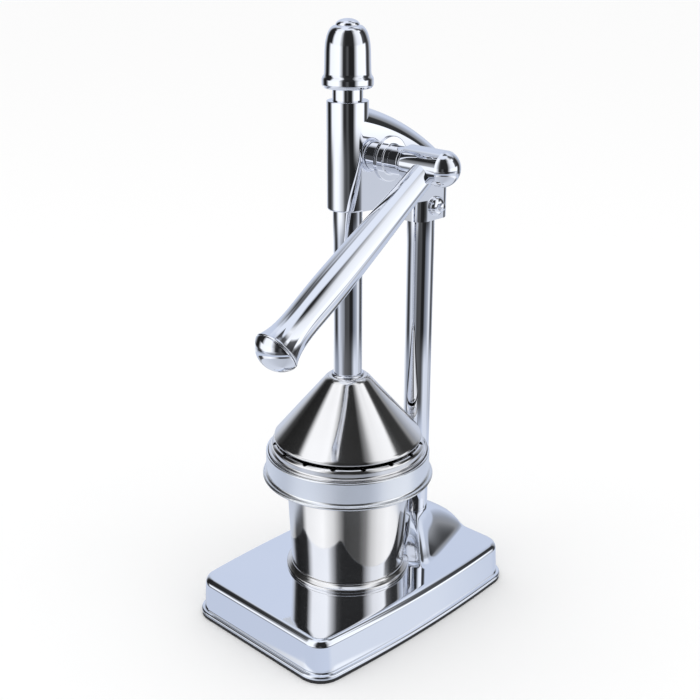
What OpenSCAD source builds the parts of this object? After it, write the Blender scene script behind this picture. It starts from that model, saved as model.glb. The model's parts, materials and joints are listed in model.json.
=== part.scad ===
// Lever citrus juice press: a rack on the ram is driven by a pinion on the lever's shaft.
// The lever is on the user's right (+X), the column stands at the back (+Y), and Z is up from the table.

/* [Base] */
// Width of the base over its lip, at the widest place
base_w = 137; // [124:1:160]
// Length of the base over its lip, front to back
base_l = 195; // [185:1:230]
// Height of the base's flat top above the table
base_h = 29; // [26:1:40]
// Thickness of the pressed sheet
sheet = 1.2; // [0.8:0.1:2]
// How far each long side swells between its corners
side_swell = 3.5; // [0:0.5:6]
// Corner radius seen from above
corner_r = 17; // [12:1:20]
// Rounding between the walls and the top
edge_r = 5; // [3:0.5:8]
// Width of the lip around the foot of the walls
lip_w = 2.6; // [1.4:0.2:4]
// Height of the lip
lip_h = 3; // [2:0.5:5]
// Thickness of the rubber pad that the press stands on
pad_t = 2; // [1:0.5:4]
// Height of the raised seat that carries the column
seat_h = 17; // [12:1:20]

/* [Column] */
// Outside diameter of the column tube
column_d = 19; // [16:0.5:22]
// Wall of the column tube
column_wall = 1.5; // [1:0.1:2.5]
// Distance from the ram's axis back to the column's axis
reach = 71; // [69:1:74]
// Thread diameter of the bolt that holds the column to the base
bolt_d = 8; // [6:1:9]

/* [Head] */
// Height of the top of the ram's sleeve
head_top = 354; // [350:1:365]
// Height of the bottom of the ram's sleeve
sleeve_bottom = 286; // [280:1:290]
// Height of the bottom of the collar around the column
collar_bottom = 268; // [260:1:272]
// Wall of the head around the ram
sleeve_wall = 3.65; // [3:0.05:5]
// Radius of the arch that the head's ridge follows towards the column
arch_r = 211; // [200:1:240]
// Height of the lever's shaft above the table
shaft_z = 316; // [314:0.5:318]

/* [Gear] */
// Module of the rack and pinion
gear_module = 1.5; // [1.4:0.05:1.6]
// Teeth on the pinion
pinion_teeth = 24; // [22:1:24]
// Width of the pinion's face
pinion_w = 12; // [9:1:14]
// Play between the teeth, measured at the pitch line
backlash = 0.16; // [0.1:0.02:0.3]
// Distance from the ram's axis to the rack's pitch line
rack_line = 7; // [6.6:0.1:7.4]
// How far the lever turns up from rest, in degrees
lever_swing = 170; // [150:5:175]

/* [Lever] */
// Diameter of the shaft
shaft_d = 10; // [8:0.5:11]
// Distance of the lever's plane from the middle of the press
lever_x = 46; // [44:1:50]
// Angle of the lever below the horizontal at rest, in degrees
lever_rest = 34; // [25:1:40]
// Length from the shaft's axis to the seam of the grip's cap
lever_l = 156; // [140:1:180]
// Diameter of the lever tube where it leaves the hub
lever_root_d = 16.4; // [15:0.2:18]
// Diameter of the lever tube at the middle of the grip
grip_d = 22; // [20:0.5:24]
// Diameter of the flared end of the grip
flare_d = 28.6; // [26:0.2:32]
// Diameter of the lever's hub
hub_d = 22.4; // [21:0.2:24]
// Diameter of the bearing's flange
flange_d = 29; // [26:0.5:31]
// Diameter of the bearing's nose
nose_d = 17.4; // [16:0.2:19]

/* [Ram] */
// Diameter of the ram
ram_d = 19; // [18:0.5:20]
// Gap between the sleeve and the cap at rest
cap_gap = 7.7; // [5:0.1:12]
// Height of the cap without its screw
cap_h = 37; // [34:1:42]
// Diameter of the cap's body
cap_d = 28.4; // [26:0.2:31]
// Diameter of the band at the foot of the cap
band_d = 32; // [30:0.5:35]
// Diameter of the press cone's rim
cone_d = 100.6; // [98:0.2:102]
// Height of the press cone's rim above the table
cone_z = 128; // [127.5:0.5:131]
// Height of the press cone
cone_h = 45; // [43:0.5:47]
// Diameter of the flat crown of the press cone
crown_d = 27; // [25:0.5:29]
// Sheet thickness of the press cone
cone_sheet = 1.2; // [0.8:0.1:1.4]

/* [Cup] */
// Diameter of the cup's mouth
cup_d = 84.4; // [82:0.2:88]
// Diameter of the cup just above its foot
cup_low_d = 79; // [76:0.5:81]
// Diameter of the cup's foot
cup_foot_d = 86.4; // [84:0.2:88]
// Sheet thickness of the cup, the bowl and the strainer
cup_sheet = 1; // [0.7:0.1:1.4]
// Height of the juice bowl's lower bead above the table
bowl_z = 100; // [98:0.5:101]
// Diameter of the juice bowl's wall
bowl_d = 112; // [110:0.5:114]
// Diameter of the juice bowl's lower bead
bead_d = 117.4; // [115:0.2:119]
// Height of the juice bowl's wall
bowl_h = 18.6; // [17:0.2:19]
// Slots in the strainer
slot_count = 16; // [8:1:24]

/* [Hidden] */

$fn = 96;
// Clearances: pieces held fast, running fits, and faces that pass each other
fit = 0.03;
running = 0.06;
pass = 0.3;
// Overrun of cuts past the faces that they open
over = 1;

// Places of the main axes, from the centre of the base
ram_y = -7;
column_y = ram_y + reach;
pitch_r = gear_module * pinion_teeth / 2;
shaft_y = ram_y + rack_line + pitch_r;

ram_r = ram_d / 2;
column_r = column_d / 2;
shaft_r = shaft_d / 2;
sleeve_r = ram_r + sleeve_wall;
seat_z = base_h + seat_h;

// Base walls: taper of the wall, and the steps of its curves
wall_taper = 1;
edge_steps = 7;
arc_steps = 8;
side_steps = 12;
wall_in = lip_w + wall_taper;

// Gear proportions
pressure_angle = 25;
tip_share = 0.9;
root_share = 1.2;
tip_r = pitch_r + tip_share * gear_module;
root_r = pitch_r - root_share * gear_module;
pitch = PI * gear_module;
travel = pitch_r * lever_swing * PI / 180;

// Outline of the base seen from above, drawn in by a distance on every side
function base_outline(inset) =
    let (half_w = base_w / 2 - inset, half_l = base_l / 2 - inset, r = max(corner_r - inset, edge_r / 2),
        lean = atan(2 * side_swell / (half_l - r)),
        end_x = half_w - side_swell, cx = end_x - r * cos(lean), cy = half_l - r,
        end_y = cy + r * sin(lean),
        right = [for (i = [0 : side_steps - 1])
            let (t = -1 + 2 * i / side_steps) [end_x + side_swell * (1 - t * t), t * end_y]],
        corner = [for (i = [0 : arc_steps])
            let (a = lean + (90 - lean) * i / arc_steps) [cx + r * cos(a), cy + r * sin(a)]],
        half = concat(right, corner),
        back_left = [for (i = [arc_steps : -1 : 0]) [-corner[i][0], corner[i][1]]],
        left = [for (i = [side_steps - 1 : -1 : 1]) [-right[i][0], right[i][1]]],
        front_left = [for (i = [0 : arc_steps]) [-corner[i][0], -corner[i][1]]],
        front_right = [for (i = [arc_steps : -1 : 1]) [corner[i][0], -corner[i][1]]])
    concat(half, back_left, left, front_left, front_right);

// Foot line of the column's seat, inset by a distance. Its back lies behind the wall, which cuts it off
seat_front_w = 78;
seat_back_w = 47;
seat_corner_r = 16;
seat_back_r = 9;
seat_past = 2.5;
cup_clear = 1.6;
seat_front_y = ram_y + cup_foot_d / 2 + cup_clear;
seat_back_y = base_l / 2 + seat_past;
line_steps = 7;
function quarter(x, y, r, a0) =
    [for (i = [0 : arc_steps]) let (a = a0 + 90 * i / arc_steps) [x + r * cos(a), y + r * sin(a)]];
function between(a, b) = [for (i = [1 : line_steps - 1]) a + (b - a) * i / line_steps];
function seat_foot(inset) =
    let (wf = seat_front_w / 2 - inset, wb = seat_back_w / 2 - inset, yf = seat_front_y + inset,
        yb = seat_back_y - inset, r = seat_corner_r - inset, rb = seat_back_r - inset)
    concat(quarter(wb - rb, yb - rb, rb, 0), between([wb - rb, yb], [rb - wb, yb]),
        quarter(rb - wb, yb - rb, rb, 90), between([-wb, yb - rb], [-wf, yf + r]),
        quarter(r - wf, yf + r, r, 180), between([r - wf, yf], [wf - r, yf]),
        quarter(wf - r, yf + r, r, 270), between([wf, yf + r], [wb, yb - rb]));

// From the foot line at share 0 up a rounded flank to the flat round top at share 1, under the column
seat_top_r = column_r + 0.3;
seat_steps = 9;
flank_power = 1.5;
function seat_ring(inset, share) =
    [for (q = seat_foot(inset)) let (y = q[1] - column_y, far = norm([q[0], y]),
        k = 1 - share + share * seat_top_r / far) [q[0] * k, column_y + y * k]];

// A closed skin over rings of points, each ring at its own height, all with the same number of points
module skin(rings, heights) {
    n = len(rings[0]);
    points = [for (k = [0 : len(rings) - 1]) for (q = rings[k]) [q[0], q[1], heights[k]]];
    sides = [for (k = [0 : len(rings) - 2]) for (i = [0 : n - 1])
        let (j = (i + 1) % n, a = k * n + i, b = k * n + j, c = a + n, d = b + n)
            each [[a, d, b], [a, c, d]]];
    foot = [for (i = [0 : n - 1]) i];
    top = [for (i = [n - 1 : -1 : 0]) (len(rings) - 1) * n + i];
    polyhedron(points = points, faces = concat([foot], sides, [top]), convexity = 6);
}

// A solid of revolution along X, from points of [distance along X, radius]
module turned_x(points) {
    rotate([0, 90, 0])
    rotate_extrude() polygon([for (q = points) [q[1], q[0]]]);
}

module rod_x(r, x0, x1) {
    translate([x0, 0, 0])
    rotate([0, 90, 0]) cylinder(r = r, h = x1 - x0);
}

module at_ram() { translate([0, ram_y, 0]) children(); }
module at_column() { translate([0, column_y, 0]) children(); }
module at_shaft() { translate([0, shaft_y, shaft_z]) children(); }

// Everything that the base's walls and top enclose; wall is 0 outside and the sheet inside
module base_body(wall, bottom) {
    r = edge_r - wall;
    insets = concat([wall_in - wall_taper + wall],
        [for (i = [0 : edge_steps]) wall_in + wall + r * (1 - cos(90 * i / edge_steps))]);
    heights = concat([bottom],
        [for (i = [0 : edge_steps]) base_h - edge_r + r * sin(90 * i / edge_steps)]);
    skin([for (q = insets) base_outline(q)], heights);
}

module seat_body(wall) {
    shares = [for (i = [0 : seat_steps]) i / seat_steps];
    low = base_h / 2;
    rings = concat([seat_ring(wall, 1), seat_ring(wall, 0)], [for (s = shares) seat_ring(wall, s)]);
    heights = concat([low, low + sheet],
        [for (s = shares) base_h - wall + seat_h * (1 - pow(1 - s, flank_power))]);
    intersection() {
        skin(rings, heights);
        translate([0, 0, low]) linear_extrude(seat_z) polygon(base_outline(wall_in + wall));
    }
}

module base_cover() {
    lip_round = lip_h / 3;
    color("silver") difference() {
        union() {
            base_body(0, pad_t + lip_round);
            seat_body(0);
            skin([base_outline(lip_round), base_outline(0), base_outline(0), base_outline(lip_w)],
                [pad_t, pad_t + lip_round, pad_t + 2 * lip_round, pad_t + lip_h]);
        }
        base_body(sheet, pad_t - over);
        seat_body(sheet);
        at_column() cylinder(d = bolt_d + 2 * pass, h = seat_z + over);
    }
}

module base_pad() {
    pad_in = 0.3;
    color("black") linear_extrude(pad_t) polygon(base_outline(pad_in));
}

// Column, its plug and the bolt from below
plate_t = 3;
plate_d = 19;
washer_t = 2;
bolt_head_h = 5.5;
bolt_head_d = 14.8;
plug_h = 24;
under_seat = seat_z - sheet;
socket_depth = 38;
column_top = collar_bottom + socket_depth;

module spreader_plate() {
    color("dimgray") at_column() translate([0, 0, under_seat - plate_t]) difference() {
        cylinder(d = plate_d, h = plate_t);
        translate([0, 0, -over]) cylinder(d = bolt_d + 2 * pass, h = plate_t + 2 * over);
    }
}

module lock_washer() {
    color("gray") at_column() translate([0, 0, under_seat - plate_t - washer_t]) difference() {
        cylinder(d = bolt_head_d, h = washer_t);
        translate([0, 0, -over]) cylinder(d = bolt_d + 2 * pass, h = washer_t + 2 * over);
    }
}

module column_bolt() {
    head_top_z = under_seat - plate_t - washer_t;
    color("gray") at_column() {
        translate([0, 0, head_top_z - bolt_head_h]) cylinder(d = bolt_head_d, h = bolt_head_h, $fn = 6);
        translate([0, 0, head_top_z]) cylinder(d = bolt_d, h = seat_z + plug_h * 3 / 4 - head_top_z);
    }
}

module column_plug() {
    color("gray") at_column() translate([0, 0, seat_z]) difference() {
        cylinder(r = column_r - column_wall - fit, h = plug_h);
        translate([0, 0, -over]) cylinder(d = bolt_d + 2 * fit, h = plug_h + 2 * over);
    }
}

// The screw that locks the head on the column
screw_d = 7;
screw_head_d = 13.4;
screw_head_h = 3.8;
screw_z = collar_bottom + column_r;
screw_bite = 2.4;
screw_hex = 4.6;

module column() {
    color("silver") at_column() difference() {
        translate([0, 0, seat_z]) cylinder(r = column_r, h = column_top - seat_z);
        translate([0, 0, seat_z - over])
            cylinder(r = column_r - column_wall, h = column_top - seat_z + 2 * over);
        translate([0, 0, screw_z]) rod_x(screw_d / 2 + fit, -column_r - over, column_r + over);
    }
}

// Head casting: a sleeve for the ram, a box for the pinion and a collar for the column
ridge_extra = 0.55;
ridge_r = sleeve_r + ridge_extra;
arch_back = 48.6;
arch_low = 4;
arch_down = arch_r - arch_low;
collar_l = 2 * (column_r + sleeve_wall + screw_bite);
collar_corner = 8;
web_drop = 4;
gear_room = 0.5;
bearing_wall = 2;
bearing_bore_r = shaft_r + bearing_wall;

// Everything under the arched ridge: a thick disc that stands on edge, rounded around its rim
module ridge_disc() {
    translate([0, ram_y - arch_back, head_top - arch_down]) rotate([0, 90, 0]) rotate_extrude() union() {
        translate([0, -ridge_r]) square([arch_r - ridge_r, 2 * ridge_r]);
        translate([arch_r - ridge_r, 0]) circle(r = ridge_r);
    }
}

module collar_plan() {
    x = sleeve_r - collar_corner;
    y = collar_l / 2 - collar_corner;
    translate([0, column_y]) union() {
        square([2 * sleeve_r, 2 * y], center = true);
        square([2 * x, collar_l], center = true);
        for (sx = [-1, 1]) for (sy = [-1, 1]) translate([sx * x, sy * y]) circle(r = collar_corner);
    }
}

module head_body() {
    y1 = column_y + collar_l;
    web_y = column_y - collar_l / 2;
    intersection() {
        translate([0, 0, collar_bottom - over]) linear_extrude(head_top - collar_bottom) union() {
            translate([-sleeve_r, ram_y]) square([2 * sleeve_r, reach]);
            collar_plan();
        }
        rotate([90, 0, 90]) linear_extrude(4 * sleeve_r, center = true) polygon([
            [ram_y, head_top], [ram_y, sleeve_bottom], [web_y, sleeve_bottom - web_drop],
            [web_y, collar_bottom], [y1, collar_bottom], [y1, head_top]]);
        ridge_disc();
    }
}

module head() {
    room_r = tip_r + gear_room;
    room_w = pinion_w + 2 * gear_room;
    color("gainsboro") difference() {
        union() {
            head_body();
            at_ram() translate([0, 0, sleeve_bottom]) cylinder(r = sleeve_r, h = head_top - sleeve_bottom);
        }
        at_ram() translate([0, 0, sleeve_bottom - over])
            cylinder(r = ram_r + running, h = head_top - sleeve_bottom + 2 * over);
        at_column() translate([0, 0, collar_bottom - over])
            cylinder(r = column_r + fit, h = socket_depth + over);
        at_shaft() {
            rod_x(room_r, -room_w / 2, room_w / 2);
            translate([-room_w / 2, -room_r, -shaft_z + collar_bottom])
                cube([room_w, 2 * room_r, shaft_z - collar_bottom]);
            rod_x(shaft_r + running, -sleeve_r - over, over);
            rod_x(bearing_bore_r + fit, 0, sleeve_r + over);
        }
        at_column() translate([0, 0, screw_z]) {
            rod_x(screw_d / 2 + fit, 0, sleeve_r + over);
            rod_x(screw_d / 2 + fit, -column_r - screw_bite, 0);
        }
    }
}

module head_screw() {
    side_share = 0.35;
    shoulder_share = 0.85;
    crown_share = 0.74;
    color("silver") at_column() translate([0, 0, screw_z]) difference() {
        turned_x([[-column_r - screw_bite + pass, 0], [-column_r - screw_bite + pass, screw_d / 2],
            [sleeve_r, screw_d / 2], [sleeve_r, screw_head_d / 2],
            [sleeve_r + screw_head_h * side_share, screw_head_d / 2],
            [sleeve_r + screw_head_h * shoulder_share, crown_share * screw_head_d / 2],
            [sleeve_r + screw_head_h, screw_head_d / 4], [sleeve_r + screw_head_h, 0]]);
        translate([sleeve_r + screw_head_h / 3, 0, 0]) rotate([0, 90, 0])
            cylinder(d = screw_hex, h = screw_head_h, $fn = 6);
    }
}

// Flanged bearing on the lever's side
flange_t = 2.4;
nose_l = 11;
nose_end = sleeve_r + flange_t + nose_l;
face_gap = 0.4;

module bearing_bush() {
    inner = pinion_w / 2 + gear_room;
    bore = shaft_r + running;
    bevel = 1;
    color("silver") at_shaft() turned_x([[inner, bore], [inner, bearing_bore_r], [sleeve_r, bearing_bore_r],
        [sleeve_r, flange_d / 2], [sleeve_r + flange_t - bevel, flange_d / 2],
        [sleeve_r + flange_t, flange_d / 2 - bevel], [sleeve_r + flange_t, nose_d / 2],
        [nose_end, nose_d / 2], [nose_end, bore]]);
}

// Cup with a rolled mouth, standing on a pressed foot ring
cup_top = bowl_z - cup_sheet;
foot_h = 4;
mouth_roll = 3;
cup_bend = 5;

module cup() {
    r0 = cup_low_d / 2;
    r1 = cup_d / 2;
    zf = base_h + cup_sheet;
    color("lightgray") at_ram() rotate_extrude() polygon(concat(
        [[0, zf], [r0 - cup_bend, zf]],
        [for (i = [1 : arc_steps]) let (a = -90 + 90 * i / arc_steps)
            [r0 - cup_bend + cup_bend * cos(a), zf + cup_bend + cup_bend * sin(a)]],
        [[r1, cup_top - mouth_roll], [r1 + cup_sheet, cup_top - mouth_roll],
            [r1 + cup_sheet, cup_top], [r1 - cup_sheet, cup_top],
            [r0 - cup_sheet, zf + cup_bend]],
        [for (i = [arc_steps - 1 : -1 : 0]) let (a = -90 + 90 * i / arc_steps)
            [r0 - cup_bend + (cup_bend - cup_sheet) * cos(a),
                zf + cup_bend + (cup_bend - cup_sheet) * sin(a)]],
        [[0, zf + cup_sheet]]));
}

module cup_foot() {
    r0 = cup_low_d / 2;
    rf = cup_foot_d / 2;
    rim_h = 2.4;
    color("darkgray") at_ram() rotate_extrude() polygon([
        [r0 - cup_bend - over, base_h], [rf, base_h], [rf, base_h + rim_h],
        [rf - rim_h / 2, base_h + rim_h], [r0 + cup_sheet, base_h + foot_h],
        [r0 + fit, base_h + foot_h + cup_sheet], [r0 + fit, base_h + cup_bend / 2],
        [r0 - cup_bend / 3 + fit, base_h + cup_sheet - fit],
        [r0 - cup_bend - over, base_h + cup_sheet - fit]]);
}

// Juice bowl on the cup's mouth: outer wall, floor and the spigot that enters the cup
bowl_r = bowl_d / 2;
bead_h = 2;
bowl_top = bowl_z + bowl_h;
spigot_l = 7;
spigot_r = cup_d / 2 - cup_sheet - pass;
floor_rise = 1.4;

module juice_bowl() {
    inner_r = spigot_r - cup_sheet;
    color("gainsboro") at_ram() rotate_extrude() polygon([
        [inner_r, bowl_z - spigot_l], [spigot_r, bowl_z - spigot_l], [spigot_r, bowl_z - cup_sheet + fit],
        [cup_d / 2 + 2 * cup_sheet, bowl_z - cup_sheet + fit], [cup_d / 2 + 3 * cup_sheet, bowl_z],
        [bead_d / 2, bowl_z], [bead_d / 2, bowl_z + bead_h], [bowl_r + cup_sheet / 2, bowl_z + bead_h],
        [bowl_r, bowl_top - cup_sheet], [bowl_r - cup_sheet / 2, bowl_top],
        [bowl_r - cup_sheet * 1.5, bowl_top], [bowl_r - cup_sheet * 1.5, bowl_z + floor_rise + cup_sheet],
        [inner_r, bowl_z + cup_sheet]]);
}

// Strainer: stepped rim, then a slotted dome that runs parallel to the press cone
step_w = 2;
step_h = 2.5;
cone_room = 5.6;
cone_r = min(cone_d / 2, bowl_r - cone_room);
crown_r = crown_d / 2;
cone_rim_h = 2;
cone_top = cone_z + cone_h;
cone_slope = (cone_r - crown_r) / (cone_h - cone_rim_h);
strainer_rim_r = bowl_r - cup_sheet * 1.5 - pass;
dome_foot_r = cone_r - 1.5 * cone_sheet - pass;
dome_under = 1.4;
dome_foot_z = cone_z - dome_under;
dome_top_r = 20;
dome_room = 14.5;
dome_top_z = cone_top - cone_sheet - dome_room;
tip_rise = 3;

function dome_points(t) = concat(
    [[dome_foot_r - t, dome_foot_z - t], [dome_top_r - t / 2, dome_top_z - t]],
    [for (i = [1 : arc_steps]) let (a = 90 * i / arc_steps)
        [(dome_top_r - t / 2) * cos(a), dome_top_z - t + tip_rise * sin(a)]]);

module strainer() {
    foot_z = bowl_z + floor_rise + cup_sheet + fit;
    outer = concat([[strainer_rim_r, foot_z], [strainer_rim_r, bowl_top + step_h / 2],
        [strainer_rim_r - step_w, bowl_top + step_h / 2], [strainer_rim_r - step_w, bowl_top + 2 * step_h],
        [dome_foot_r, bowl_top + 2 * step_h]], dome_points(0));
    inner_r = strainer_rim_r - step_w - cup_sheet;
    inner = concat([[strainer_rim_r - cup_sheet, foot_z], [strainer_rim_r - cup_sheet, bowl_top],
        [inner_r, bowl_top - cup_sheet / 2], [dome_foot_r - cup_sheet, bowl_top + step_h]],
        dome_points(cup_sheet));
    slot_in = 24;
    slot_out = dome_foot_r - cup_sheet / 2;
    slot_w = 5;
    color("silver") at_ram() difference() {
        rotate_extrude() polygon(concat(outer, [for (i = [len(inner) - 1 : -1 : 0]) inner[i]]));
        for (i = [0 : slot_count - 1]) rotate([0, 0, 360 * (i + 0.5) / slot_count])
            translate([0, 0, bowl_top]) linear_extrude(cone_h)
                polygon([[slot_in, slot_w / 8], [slot_out - slot_w, slot_w / 2], [slot_out, 0],
                    [slot_out - slot_w, -slot_w / 2], [slot_in, -slot_w / 8]]);
    }
}

// Lever group, drawn about the shaft's axis
ring_l = 2.8;
ring_d = 20;
ring_x = nose_end + face_gap;
hub_x = ring_x + ring_l;
hub_l = 26.8;
dome_x = hub_x + hub_l;
shaft_short = 2;
shaft_end = dome_x - shaft_short;
nut_l = 7;
nut_d = 15;
end_washer_t = 1.6;
end_x = -sleeve_r - face_gap;
nut_flat_share = 0.7;
shaft_start = end_x - end_washer_t - nut_l * nut_flat_share;
pin_d = 3;

module lever_shaft() {
    bevel = 0.6;
    color("gray") at_shaft() difference() {
        turned_x([[shaft_start, 0], [shaft_start, shaft_r - bevel], [shaft_start + bevel, shaft_r],
            [shaft_end - bevel, shaft_r], [shaft_end, shaft_r - bevel], [shaft_end, 0]]);
        cylinder(d = pin_d + 2 * fit, h = shaft_d + over, center = true);
    }
}

// Half the angle of a pinion tooth at a radius, in degrees
function involute(a) = tan(a) * 180 / PI - a;
function tooth_half_angle(r) =
    let (base_r = pitch_r * cos(pressure_angle), a = acos(min(1, base_r / r)))
    90 / pinion_teeth - backlash / 4 / pitch_r * 180 / PI + involute(pressure_angle) - involute(a);
flank_steps = 5;

function pinion_outline() =
    let (base_r = pitch_r * cos(pressure_angle), low = max(base_r, root_r),
        radii = [for (i = [0 : flank_steps]) low + (tip_r - low) * i / flank_steps])
    [for (k = [0 : pinion_teeth - 1]) let (c = 360 * (k + 0.5) / pinion_teeth)
        each concat([[root_r, c - tooth_half_angle(low)]],
            [for (r = radii) [r, c - tooth_half_angle(r)]],
            [for (i = [flank_steps : -1 : 0]) [radii[i], c + tooth_half_angle(radii[i])]],
            [[root_r, c + tooth_half_angle(low)]])];

module pinion() {
    color("dimgray") at_shaft() difference() {
        rotate([90, 0, 90]) linear_extrude(pinion_w, center = true)
            polygon([for (q = pinion_outline()) [-q[0] * cos(q[1]), q[0] * sin(q[1])]]);
        rod_x(shaft_r + fit, -pinion_w, pinion_w);
        cylinder(d = pin_d + 2 * fit, h = 2 * pitch_r + 2 * over, center = true);
    }
}

module pinion_pin() {
    color("gray") at_shaft() cylinder(d = pin_d, h = 2 * root_r - over, center = true);
}

module hub_ring() {
    lip = 0.5;
    color("silver") at_shaft() turned_x([[ring_x, shaft_r + fit], [ring_x, ring_d / 2 - lip],
        [ring_x + lip, ring_d / 2], [hub_x, ring_d / 2], [hub_x, shaft_r + fit]]);
}

// Points of the lever's outline: distance from the shaft's axis and radius
tube_share = [0, 0.36, 0.68, 0.8, 0.86, 0.92, 0.97, 1];
swell_share = [0, 0.6, 1, 0.9, 0.93, 1.1, 1.7, 2.18];
tube_start = hub_d / 4;
tube_wall = 1.5;
hub_grip = 2;

function tube_r(k, wall) = k == len(tube_share) - 1 ? flare_d / 2 - wall
    : lever_root_d / 2 + (grip_d - lever_root_d) / 2 * swell_share[k] - wall;
function tube_at(k) = tube_start + (lever_l - tube_start) * tube_share[k];

// Local +Z runs out along the lever
module along_lever() {
    at_shaft() translate([lever_x, 0, 0]) rotate([90 + lever_rest, 0, 0]) children();
}

module lever_tube() {
    last = len(tube_share) - 1;
    color("silver") difference() {
        along_lever() rotate_extrude() polygon(concat(
            [for (k = [0 : last]) [tube_r(k, 0), tube_at(k)]],
            [for (k = [last : -1 : 0]) [tube_r(k, tube_wall), tube_at(k)]]));
        at_shaft() rod_x(hub_d / 2 + fit, hub_x, dome_x);
    }
}

// Hub with a round end and a blind bore
module lever_hub() {
    color("silver") at_shaft() difference() {
        union() {
            rod_x(hub_d / 2, hub_x, dome_x);
            translate([dome_x, 0, 0]) sphere(d = hub_d);
        }
        rod_x(shaft_r + fit, hub_x - over, shaft_end + pass);
    }
}

module grip_cap() {
    rim = 0.8;
    dome = 8.2;
    plug_l = 9;
    shrink = 2.4;
    plug_r = flare_d / 2 - tube_wall - shrink;
    color("silver") along_lever() rotate_extrude() polygon(concat(
        [[0, lever_l - plug_l], [plug_r - rim, lever_l - plug_l], [plug_r, lever_l + fit],
            [flare_d / 2 - rim / 2, lever_l + fit], [flare_d / 2, lever_l + rim]],
        [for (i = [1 : arc_steps]) let (a = 90 * i / arc_steps)
            [flare_d / 2 * cos(a), lever_l + rim + dome * sin(a)]]));
}

module end_washer() {
    washer_d = 17;
    color("gray") at_shaft() difference() {
        rod_x(washer_d / 2, end_x - end_washer_t, end_x);
        rod_x(shaft_r + fit, end_x - end_washer_t - over, end_x + over);
    }
}

module end_nut() {
    nut_dome_share = 0.4;
    color("silver") at_shaft() translate([end_x - end_washer_t - nut_l, 0, 0]) difference() {
        union() {
            translate([nut_l * (1 - nut_flat_share), 0, 0]) rotate([0, 90, 0])
                cylinder(d = nut_d, h = nut_l * nut_flat_share, $fn = 6);
            turned_x([[-nut_l / 3, 0], [-nut_l / 4, nut_d / 5], [0, nut_d / 3],
                [nut_l / 3, nut_dome_share * nut_d], [nut_l / 2, nut_dome_share * nut_d], [nut_l / 2, 0]]);
        }
        rod_x(shaft_r + fit, nut_l * (1 - nut_flat_share) - fit, nut_l + over);
    }
}

// Ram with its rack, cap and press cone
ring_washer_t = 1.6;
ram_bottom = cone_top + ring_washer_t;
cap_z = head_top + cap_gap;
cap_bore = 22;
ram_top = cap_z + cap_bore;
stud_d = 10;
cone_nut_h = 5;
cone_nut_d = 17;
cone_washer_t = 1.4;
stud_out = 1;
stud_end = cone_top - cone_sheet - cone_washer_t - cone_nut_h - stud_out;
rack_up = 3;
rack_down = ceil(travel / pitch) + 3;

module rack_cut() {
    flat_y = rack_line + tip_share * gear_module;
    root_y = rack_line - root_share * gear_module;
    lean = tan(pressure_angle);
    half = pitch / 4 + backlash / 4;
    wide = half + (flat_y + over - rack_line) * lean;
    narrow = half - (rack_line - root_y) * lean;
    z0 = shaft_z - (rack_down + 1.5) * pitch;
    z1 = shaft_z + (rack_up + 0.5) * pitch;
    translate([-ram_d, flat_y, z0]) cube([2 * ram_d, ram_d, z1 - z0]);
    for (k = [-rack_down : rack_up]) translate([0, 0, shaft_z + (k - 0.5) * pitch])
        rotate([90, 0, 90]) linear_extrude(2 * ram_d, center = true)
            polygon([[flat_y + over, -wide], [flat_y + over, wide], [root_y, narrow], [root_y, -narrow]]);
}

module ram() {
    color("silver") at_ram() difference() {
        union() {
            translate([0, 0, ram_bottom]) cylinder(r = ram_r, h = ram_top - ram_bottom);
            translate([0, 0, stud_end]) cylinder(d = stud_d, h = ram_bottom - stud_end + over);
        }
        rack_cut();
        translate([0, 0, ram_top - cap_screw_l])
            cylinder(d = cap_screw_d + 2 * fit, h = cap_screw_l + over);
    }
}

// Outline of the cap: shares of its height, and of its body's radius
cap_share = [0.2, 0.24, 0.6, 0.72, 0.82, 0.9, 0.96, 1];
cap_width_share = [1.06, 1.02, 0.99, 0.95, 0.88, 0.78, 0.66, 0.5];
cap_screw_d = 6;
cap_screw_l = 12;

module ram_cap() {
    band_h = cap_h * cap_share[0];
    round = 1.2;
    color("silver") at_ram() translate([0, 0, cap_z]) difference() {
        rotate_extrude() polygon(concat(
            [[0, 0], [band_d / 2 - round, 0], [band_d / 2 - round / 4, round / 2],
                [band_d / 2, round * 1.5], [band_d / 2, band_h - round * 2],
                [band_d / 2 - round / 3, band_h - round / 2]],
            [for (k = [0 : len(cap_share) - 1]) [cap_d / 2 * cap_width_share[k], cap_h * cap_share[k]]],
            [[0, cap_h]]));
        translate([0, 0, -over]) cylinder(r = ram_r + fit, h = cap_bore + over);
        cylinder(d = cap_screw_d + 2 * fit, h = cap_h + over);
    }
}

module cap_screw() {
    head_h = 4;
    head_r = 7.4;
    bite = 1;
    z = cap_z + cap_h;
    color("silver") at_ram() union() {
        translate([0, 0, z]) rotate_extrude() polygon(concat([[0, 0], [head_r, 0]],
            [for (i = [1 : arc_steps]) let (a = 90 * i / arc_steps) [head_r * cos(a), head_h * sin(a)]]));
        translate([0, 0, ram_top - cap_screw_l + bite])
            cylinder(d = cap_screw_d, h = z - ram_top + cap_screw_l);
    }
}

module cone_washer() {
    lip = 1.6;
    color("silver") at_ram() difference() {
        translate([0, 0, cone_top]) cylinder(r = ram_r + lip, h = ram_bottom - cone_top);
        translate([0, 0, cone_top - over])
            cylinder(d = stud_d + 2 * fit, h = ram_bottom - cone_top + 2 * over);
    }
}

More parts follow.
